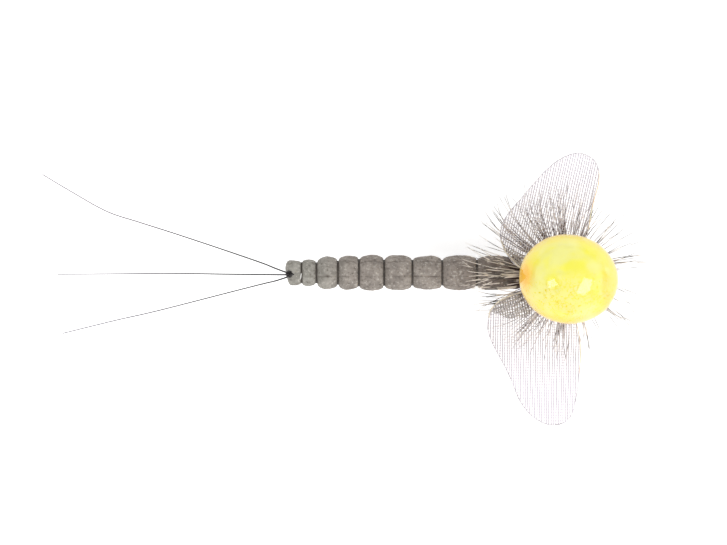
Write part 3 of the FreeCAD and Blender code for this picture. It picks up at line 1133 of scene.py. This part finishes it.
headTop = boxOf("head_wrap")[1].z
tieInTop = boxOf("tie_in_wrap")[1].z
shankTop = boxOf("shank_thread")[1].z
makeShankWrap("head_thread", "head_wrap", headTop, wrapSettings["headFront"], 2)
makeShankWrap("tie_in_thread", "tie_in_wrap", tieInTop, tieInTop - wrapSettings["tieInFall"], 2)
makeShankWrap("shank_thread_turns", "shank_thread", shankTop, shankTop, 1)

store = newStore()
cementRear = Vector((boxOf("head_cement")[0].x, 0, 0))
addTurned(store, cementRear, forward, wrapSettings["cement"], 40)
makePiece("head_cement_drop", store, cementMaterial, "hook_assembly", "cement", "head_cement")


def makePostWrap(name, node, slack, openTurns):
    # thread round the post, over a plain filling that the turns cover
    wire = wrapSettings["wire"]
    low, high = boxOf(node)
    outer = (high.x - low.x) / 2
    length = high.z - low.z
    store = newStore()
    foot = Vector((post.x, post.y, low.z))
    end, body = outer * 0.85, outer - 0.1
    addTurned(store, foot, upward, [(0.0, end), (0.08, body), (length - 0.08, body), (length, end)], 48)

    def wrapAt(place):
        return outer - 2.4 * wire

    addWrap(store, foot, upward, wire, length - wire, wrapAt, wire, draw, slack, 0.5, openTurns)
    makePiece(name, store, headMaterial, "hook_assembly", "thread", node)


makePostWrap("post_thread", "post_wrap", 0.2, 0)
makePostWrap("wing_lashing_thread", "wing_lashing", 0.4, 2)

yarnSettings = {"strands": 22, "radius": 0.062, "twist": 0.9, "spans": 14}


def makePostYarn():
    # the post is a bundle of yarn strands
    s = yarnSettings
    low, high = boxOf("wing_post")
    height = high.z - low.z
    reach = (high.x - low.x) / 2 - s["radius"]
    store = newStore()
    addTurned(store, Vector((post.x, post.y, low.z)), upward, [(0.0, reach), (height, reach)], 32)
    for strand in range(s["strands"]):
        path = []
        for step in range(s["spans"] + 1):
            angle = math.tau * strand / s["strands"] + s["twist"] * step / s["spans"]
            spoke = Vector((math.cos(angle), math.sin(angle), 0))
            path.append(Vector((post.x, post.y, low.z + height * step / s["spans"])) + spoke * reach)
        addTube(store, path, s["radius"], 6, draw.random())
    makePiece("post_yarn_bundle", store, postMaterial, "hook_assembly", "post_yarn", "wing_post")


makePostYarn()
print("wraps made")


# hackle: the wound stem and its barbs; angles are measured round the post from the head

hackleSettings = {
    "turns": 4,
    "stemRadius": 0.10,
    "coilRadius": 0.73,
    "barbs": 400,
    "rootReach": 0.80,
    "points": 15,
    "seed": 7,
    # by the angle from the tail direction: how high a barb is at heightReach from the post, how long
    # it is, how many are kept, and how thick their roots are
    "heights": [
        (0, 2.85), (8, 2.75), (14, 2.40), (25, 2.20), (45, 1.35), (90, 1.05), (140, 1.20), (180, 2.30)],
    "lengths": [(0, 8.6), (40, 7.9), (90, 7.2), (140, 7.0), (180, 7.3)],
    "heightReach": 6.0,
    "kept": [(0, 0.62), (12, 0.62), (20, 0.8), (55, 0.6), (70, 0.62), (100, 0.62), (118, 0.34), (180, 0.24)],
    "thickness": [(0, 0.064), (30, 0.056), (70, 0.050), (110, 0.042), (180, 0.034)],
    "heightSpread": 0.14,
    "lengthSpread": (0.78, 1.04),
    "droop": 0.10,
    "clump": 4.5,             # degrees that barbs are drawn towards their clump
    "clumps": 13,
    "tipRadius": 0.010,
    # how far barbs of each side lean away from the tail line at their tips, in degrees
    "leanLeft": [(0, 1), (12, 4), (30, 9), (60, 6), (90, 0), (180, 0)],
    "leanRight": [(0, -1), (12, -6), (30, -9), (60, -3), (90, 0), (180, 0)],
    "lean": 5.5,
    "underFold": (16, 46),      # angles from the tail, on the right, where the barbs' dark bands are lined up under the fold, partly as painted shade
    "underFoldShadeTone": 0.50,
}


def makeStem():
    s = hackleSettings
    coilBottom = stemLow.z + s["stemRadius"]
    coilPitch = (stemHigh.z - stemLow.z - 2 * s["stemRadius"]) / s["turns"]
    path, radii = [], []
    for step in range(s["turns"] * 40 + 1):
        turn = step / 40
        angle = math.tau * turn
        reach = s["coilRadius"] + 0.01 * noise.noise(Vector((angle, 0, 0)))
        place = Vector((post.x + reach * math.cos(angle), post.y + reach * math.sin(angle), coilBottom))
        path.append(place + upward * (coilPitch * turn))
        radii.append(s["stemRadius"] * (1.0 - 0.25 * turn / s["turns"]))
    store = newStore()
    addTube(store, path, radii, 10)
    makePiece("hackle_stem_coil", store, stemMaterial, "hook_assembly", "feather_stem", "hackle_stem")
    return coilBottom, coilPitch


def addBarb(store, azimuth, rootZ, draw):
    s = hackleSettings
    fromTail = min(180, abs(180 - azimuth % 360))
    left = azimuth % 360 < 180
    away = -1 if left else 1        # the turning sense that leads away from the tail line
    farZ = readStops(s["heights"], fromTail) + draw.uniform(-1, 1) * s["heightSpread"]
    reach = readStops(s["lengths"], fromTail) * draw.uniform(*s["lengthSpread"])
    slope = (farZ - rootZ) / (s["heightReach"] - s["rootReach"])
    lean = readStops(s["leanLeft"] if left else s["leanRight"], fromTail) + draw.gauss(0, s["lean"])
    droop = draw.uniform(-s["droop"], s["droop"])
    thick = readStops(s["thickness"], fromTail) * draw.uniform(0.7, 1.15)
    tone = draw.random()
    # under the fold the barbs' dark bands are lined up, partly as painted shade
    if not left and s["underFold"][0] < fromTail < s["underFold"][1]:
        tone = s["underFoldShadeTone"] + draw.uniform(-0.07, 0.07)
    path, radii = [], []
    for step in range(s["points"]):
        t = step / (s["points"] - 1)
        distance = s["rootReach"] + (reach - s["rootReach"]) * t
        angle = math.radians(azimuth + away * lean * t * t)
        z = rootZ + slope * (distance - s["rootReach"]) + droop * math.sin(math.pi * t)
        path.append(Vector((post.x + distance * math.cos(angle), post.y + distance * math.sin(angle), z)))
        swell = 0.72 + 0.28 * math.sin(math.pi * min(1, t * 1.5))
        radii.append(thick * swell * (1 - t) ** 0.5 + s["tipRadius"])
    addTube(store, path, radii, 5, tone)


def makeBarbs(coilBottom, coilPitch):
    s = hackleSettings
    draw = random.Random(s["seed"])
    store = newStore()
    made = 0
    for index in range(s["barbs"]):
        turn = s["turns"] * (index + 0.5) / s["barbs"]
        azimuth = 360 * (turn % 1.0)
        pull = s["clump"] * math.sin(math.radians(azimuth * s["clumps"]))
        clumped = azimuth + pull + draw.uniform(-1.5, 1.5)
        if draw.random() < readStops(s["kept"], abs(180 - azimuth)):
            addBarb(store, clumped, coilBottom + coilPitch * turn, draw)
            made += 1
    makePiece("hackle_barb_fan", store, barbMaterial, "hook_assembly", "feather_barbs", "hackle_barbs")
    print("hackle made,", made, "barbs")


makeBarbs(*makeStem())


# wings: woven mesh cut to the panel's outline

def outlineOf(node):
    # the ordered border of the node's top face, in millimetres
    mesh = frame["nodes"][node].data
    top = max(v.co.z for v in mesh.vertices)

    def key(vertex):
        return round(vertex.co.x / mm, 4), round(vertex.co.y / mm, 4)

    edges = set()
    for face in mesh.polygons:
        corners = [mesh.vertices[i] for i in face.vertices]
        if all(abs(c.co.z - top) < 1e-7 for c in corners):
            for a, b in zip(corners, corners[1:] + corners[:1]):
                if (key(b), key(a)) in edges:
                    edges.remove((key(b), key(a)))
                else:
                    edges.add((key(a), key(b)))
    following = dict(edges)
    start = min(following)
    loop = [start]
    while following[loop[-1]] != start:
        loop.append(following[loop[-1]])
    return [Vector((x, y, 0)) for x, y in loop]


def spansInside(outline, origin, heading):
    # where a straight line runs inside the outline, as (start, end) distances along it
    side = Vector((-heading.y, heading.x, 0))
    hits = []
    for a, b in zip(outline, outline[1:] + outline[:1]):
        da, db = (a - origin).dot(side), (b - origin).dot(side)
        if (da > 0) != (db > 0):
            share = da / (da - db)
            hits.append((a + (b - a) * share - origin).dot(heading))
    hits.sort()
    return list(zip(hits[::2], hits[1::2]))


wingSettings = {
    "camber": 0.22,
    "ripple": 0.05,
    "length": 11.0,
    "flat": 0.55,                 # a thread's height as a share of its width
    "wave": 0.018,                # how far a thread rises and dips over the ones it crosses
    "wander": 0.035,
    "jitter": 0.10,
    "shortest": 0.3,
    "outlineSpacing": 0.12,
    "edge": 0.036,
    "foldLift": 0.09,
    "rollLift": 0.07,
    "rollWire": 0.065,
    "warpTones": (0.45, 1.0),     # the lengthwise threads are the darker ones
    "weftTones": (0.0, 0.35),
    "left": {
        "lean": 12.5, "seed": 41, "foldLean": 42.0,
        "fold": [
            (-8.05, 2.35), (-7.80, 1.72), (-7.25, 1.10), (-6.68, 0.52), (-6.15, 0.62), (-6.25, 1.20),
            (-7.20, 1.75)],
        "roll": [(-8.20, 2.62), (-7.84, 1.72), (-7.28, 1.06), (-6.70, 0.47), (-6.10, 0.50)],
    },
    "right": {
        "lean": 1.0, "seed": 43, "foldLean": -14.0,
        "fold": [
            (-9.12, -3.10), (-8.62, -2.52), (-8.04, -2.08), (-6.99, -1.70), (-6.40, -1.55), (-6.00, -2.13),
            (-5.75, -2.87), (-6.05, -3.44), (-7.56, -3.66), (-8.54, -3.25)],
        "roll": [
            (-9.18, -3.60), (-9.05, -3.02), (-8.60, -2.50), (-8.04, -2.08), (-6.99, -1.68), (-6.40, -1.52)],
    },
}
warpThread = {"pitch": 0.19, "wire": 0.042}
weftThread = {"pitch": 0.22, "wire": 0.017}
foldWarp = {"pitch": 0.21, "wire": 0.038}
foldWeft = {"pitch": 0.21, "wire": 0.036}


def wingHeight(x, y):
    # the panel's gentle arch along its length, in millimetres above the hinge plane
    s = wingSettings
    out = max(0.0, abs(y) - abs(jointPlaces["left_wing_hinge"].y))
    ripple = s["ripple"] * math.sin(x * 1.1 + y * 0.6) * min(1.0, out)
    return s["camber"] * math.sin(math.pi * min(1.0, out / s["length"])) + ripple


def addThreads(store, outline, planeZ, along, thread, tones, phase, draw):
    s = wingSettings
    across = Vector((along.y, -along.x, 0))
    pitch = thread["pitch"]
    reaches = [p.dot(across) for p in outline]
    for number in range(math.ceil(min(reaches) / pitch), math.floor(max(reaches) / pitch) + 1):
        offset = number * pitch + draw.uniform(-s["jitter"], s["jitter"]) * pitch
        tone = draw.uniform(*tones)
        for start, end in spansInside(outline, across * offset, along):
            if end - start < s["shortest"]:
                continue
            count = max(2, int((end - start) / (pitch / 2)))
            path = []
            for step in range(count + 1):
                distance = start + (end - start) * step / count
                place = across * offset + along * distance
                sway = noise.noise(Vector((place.x * 0.5, place.y * 0.5, number * 0.15 + phase)))
                place += across * (s["wander"] * sway)
                over = phase * s["wave"] * math.cos(math.pi * (distance / pitch + number))
                path.append(Vector((place.x, place.y, planeZ + over + wingHeight(place.x, place.y))))
            addTube(store, path, thread["wire"], 6, tone, s["flat"], upward)


def addWeave(store, outline, planeZ, leanDegrees, warp, weft, seed):
    s = wingSettings
    draw = random.Random(seed)
    lean = math.radians(leanDegrees)
    lengthwise = Vector((math.sin(lean), math.cos(lean), 0))
    crosswise = Vector((math.cos(lean), -math.sin(lean), 0))
    addThreads(store, outline, planeZ, lengthwise, warp, s["warpTones"], 1, draw)
    addThreads(store, outline, planeZ, crosswise, weft, s["weftTones"], -1, draw)


def addEdge(store, outline, planeZ, wire, seed):
    path, radii = [], []
    for point in outline:
        path.append(Vector((point.x, point.y, planeZ + wingHeight(point.x, point.y))))
        radii.append(wire * (1 + 0.35 * noise.noise(Vector((point.x * 2, point.y * 2, seed)))))
    addTube(store, path, radii, 7, 0.5, 0.8, upward)


def thinned(outline, spacing):
    kept = [outline[0]]
    for point in outline[1:]:
        if (point - kept[-1]).length >= spacing:
            kept.append(point)
    return kept


def makeWing(side):
    s = wingSettings[side]
    node = side + "_wing"
    body = side + "_wing_panel"
    outline = thinned(outlineOf(node), wingSettings["outlineSpacing"])
    planeZ = middleOf(node).z
    store = newStore()
    addWeave(store, outline, planeZ, s["lean"], warpThread, weftThread, s["seed"])
    makePiece(side + "_wing_mesh", store, meshMaterial, body, "wing_mesh", node)
    store = newStore()
    addEdge(store, outline + outline[:2], planeZ, wingSettings["edge"], s["seed"])
    makePiece(side + "_wing_edge", store, edgeMaterial, body, "wing_mesh")
    fold = smoothPath([(x, y, 0) for x, y in s["fold"] + s["fold"][:1]], 6)[:-1]
    store = newStore()
    foldZ = planeZ + wingSettings["foldLift"]
    addWeave(store, fold, foldZ, s["foldLean"], foldWarp, foldWeft, s["seed"] + 1)
    makePiece(side + "_wing_fold", store, foldMaterial, body, "wing_mesh")
    store = newStore()
    roll = smoothPath([(x, y, 0) for x, y in s["roll"]], 8)
    addEdge(store, roll, planeZ + wingSettings["rollLift"], wingSettings["rollWire"], s["seed"] + 2)
    makePiece(side + "_wing_rolled_edge", store, rollMaterial, body, "wing_mesh")


makeWing("left")
makeWing("right")
print("wings made")


# sight ball: mottled core inside a clear coat

ballSettings = {
    "turn": -8.0,             # degrees round the post
    "rows": 90,
    "sides": 160,
    "coat": 0.25,
    "coreLumps": 0.02,
    "coatLumps": 0.006,
}
ballLow, ballHigh = boxOf("sight_ball_coat")
ballCentre = (ballLow + ballHigh) / 2


def addBall(store, depth, lumps, seed):
    s = ballSettings
    turn = Matrix.Rotation(math.radians(s["turn"]), 3, "Z")
    half = (ballHigh - ballLow) / 2 - Vector((depth, depth, depth))
    rings = []
    for row in range(1, s["rows"]):
        polar = math.pi * row / s["rows"]
        ring = []
        for step in range(s["sides"]):
            angle = math.tau * step / s["sides"]
            wide = math.sin(polar)
            way = Vector((wide * math.cos(angle), wide * math.sin(angle), -math.cos(polar)))
            swell = 1 + lumps * (noise.noise(way * 2.2 + forward * seed) + 0.25 * noise.noise(way * 7))
            ring.append(ballCentre + turn @ Vector((way.x * half.x, way.y * half.y, way.z * half.z)) * swell)
        rings.append(ring)
    addRings(store, rings)


store = newStore()
addBall(store, ballSettings["coat"], ballSettings["coreLumps"], 4.0)
makePiece("sight_ball_mottled_core", store, coreMaterial, "hook_assembly", "ball_core", "sight_ball_core")
store = newStore()
addBall(store, 0.0, ballSettings["coatLumps"], 9.0)
makePiece("sight_ball_clear_coat", store, coatMaterial, "hook_assembly", "ball_coat", "sight_ball_coat")
print("ball made")


# floor, light and camera

stageSettings = {
    "floorDrop": 0.05,
    "floorSize": 1400,
    "floorShade": 0.93,
    "floorGlow": 0.54,
    "world": 0.50,
    "distance": 300,
    "leftBox": {"tiltX": -35, "tiltY": -15, "width": 90, "depth": 110, "watts": 0.20},
    "rightBox": {"tiltX": 33, "tiltY": -19, "width": 200, "depth": 110, "watts": 0.46},
}

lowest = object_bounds()[0].z / mm
floorPlace = Vector((post.x, 0, lowest - stageSettings["floorDrop"])) * mm
bpy.ops.mesh.primitive_plane_add(size=stageSettings["floorSize"] * mm, location=floorPlace)
floor = bpy.context.object
floor.name = "floor"
floorMaterial, tree, shader = newMaterial("paleFloor", 0.9)
shade = stageSettings["floorShade"]
shader.inputs["Base Color"].default_value = (shade, shade, shade, 1)
shader.inputs["Emission Color"].default_value = (1, 1, 1, 1)
shader.inputs["Emission Strength"].default_value = stageSettings["floorGlow"]
floor.data.materials.append(floorMaterial)

world = bpy.data.worlds.new("studio")
bpy.context.scene.world = world
world.use_nodes = True
background = world.node_tree.nodes["Background"]
background.inputs["Color"].default_value = (1, 1, 1, 1)
background.inputs["Strength"].default_value = stageSettings["world"]


def addSoftbox(name):
    s = stageSettings[name]
    light = bpy.data.lights.new(name, "AREA")
    light.energy = s["watts"]
    light.shape = "RECTANGLE"
    light.size = s["width"] * mm
    light.size_y = s["depth"] * mm
    lamp = bpy.data.objects.new(name, light)
    way = Vector((math.tan(math.radians(s["tiltX"])), math.tan(math.radians(s["tiltY"])), 1)).normalized()
    lamp.location = (ballCentre + way * stageSettings["distance"]) * mm
    lamp.rotation_mode = "QUATERNION"
    lamp.rotation_quaternion = way.to_track_quat("Z", "Y")
    lamp.visible_camera = False
    bpy.context.scene.collection.objects.link(lamp)


addSoftbox("leftBox")
addSoftbox("rightBox")

cameraSettings = {"lens": 900, "sensor": 36, "fieldWidth": 58.16, "centre": Vector((-19.18, 0.02, 1.0))}
cameraData = bpy.data.cameras.new("camera")
cameraData.lens = cameraSettings["lens"]
cameraData.sensor_width = cameraSettings["sensor"]
cameraData.clip_start = 0.01
cameraData.clip_end = 5.0
camera = bpy.data.objects.new("camera", cameraData)
cameraHeight = cameraSettings["fieldWidth"] * cameraSettings["lens"] / cameraSettings["sensor"]
camera.location = (cameraSettings["centre"] + upward * cameraHeight) * mm
bpy.context.scene.collection.objects.link(camera)
bpy.context.scene.camera = camera
bpy.context.scene.view_settings.view_transform = "Standard"

print("scene ready")
